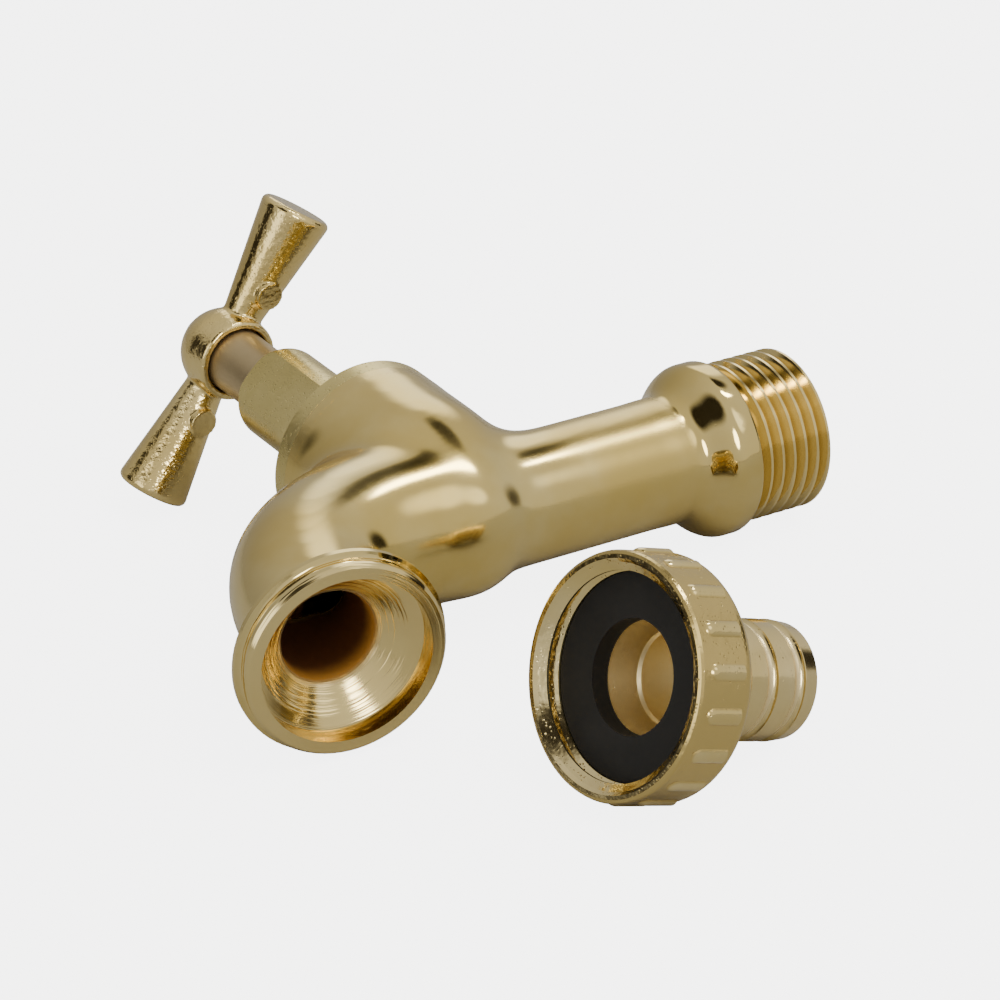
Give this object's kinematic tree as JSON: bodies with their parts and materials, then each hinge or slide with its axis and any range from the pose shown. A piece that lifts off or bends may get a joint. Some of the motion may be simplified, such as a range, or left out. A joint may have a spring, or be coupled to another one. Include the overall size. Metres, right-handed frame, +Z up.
{
  "type": "hose bib",
  "caption": "Plated brass bib tap with a T-bar handle, a male inlet thread and a ringed outlet, with its loose ribbed hose union, barbed tail and rubber washer.",
  "frame": {"origin": "middle of the bounding box at bench height, the tap laid on its outlet ring, collar and one handle end with the union beside it", "axes": "+Z up from the bench; +Y away from the viewer, over the handle's far end; +X towards the side the inlet points to"},
  "size_m": [0.0932, 0.1166, 0.0398],
  "materials": {
    "body_plate": "satin champagne plating",
    "handle_plate": "polished champagne plating",
    "nut_plate": "satin champagne plating",
    "stem": "matt, bare",
    "raw_brass": "as turned",
    "rubber": "matt black",
    "fibre": "red fibre"
  },
  "bodies": {
    "tap": {"tap_body": "body_plate", "bonnet": "body_plate", "bonnet_gasket": "fibre"},
    "jumper": {"jumper": "raw_brass", "seat_washer": "rubber", "washer_nut": "raw_brass"},
    "spindle": {"spindle": "stem", "spindle_oring_lower": "rubber", "spindle_oring_upper": "rubber", "handle": "handle_plate", "handle_screw": "handle_plate"},
    "hose_tail": {"hose_tail": "nut_plate", "union_washer": "rubber"},
    "union_nut": {"union_nut": "nut_plate"}
  },
  "joints": [
    {"name": "jumper_lift", "type": "slide", "parent": "tap", "child": "jumper", "axis": [-0.5484, 0.8287, 0.1116], "range_m": [0, 0.0057]},
    {"name": "handle_turn", "type": "hinge", "parent": "jumper", "child": "spindle", "pos_m": [-0.0016, 0.00333, 0.01373], "axis": [-0.5484, 0.8287, 0.1116], "range_deg": [0, 1135.08]},
    {"name": "union_carry", "type": "slide", "parent": "tap", "child": "hose_tail", "axis": [0, -1, 0], "range_m": [0, 0.02]},
    {"name": "union_nut_spin", "type": "hinge", "parent": "hose_tail", "child": "union_nut", "pos_m": [0.01733, -0.04687, 0.01596], "axis": [0.7225, 0.5851, -0.3684], "continuous": true}
  ],
  "couplings": [
    {"joint": "jumper_lift", "follows": "handle_turn", "m_per_rad": 0.00028648}
  ]
}
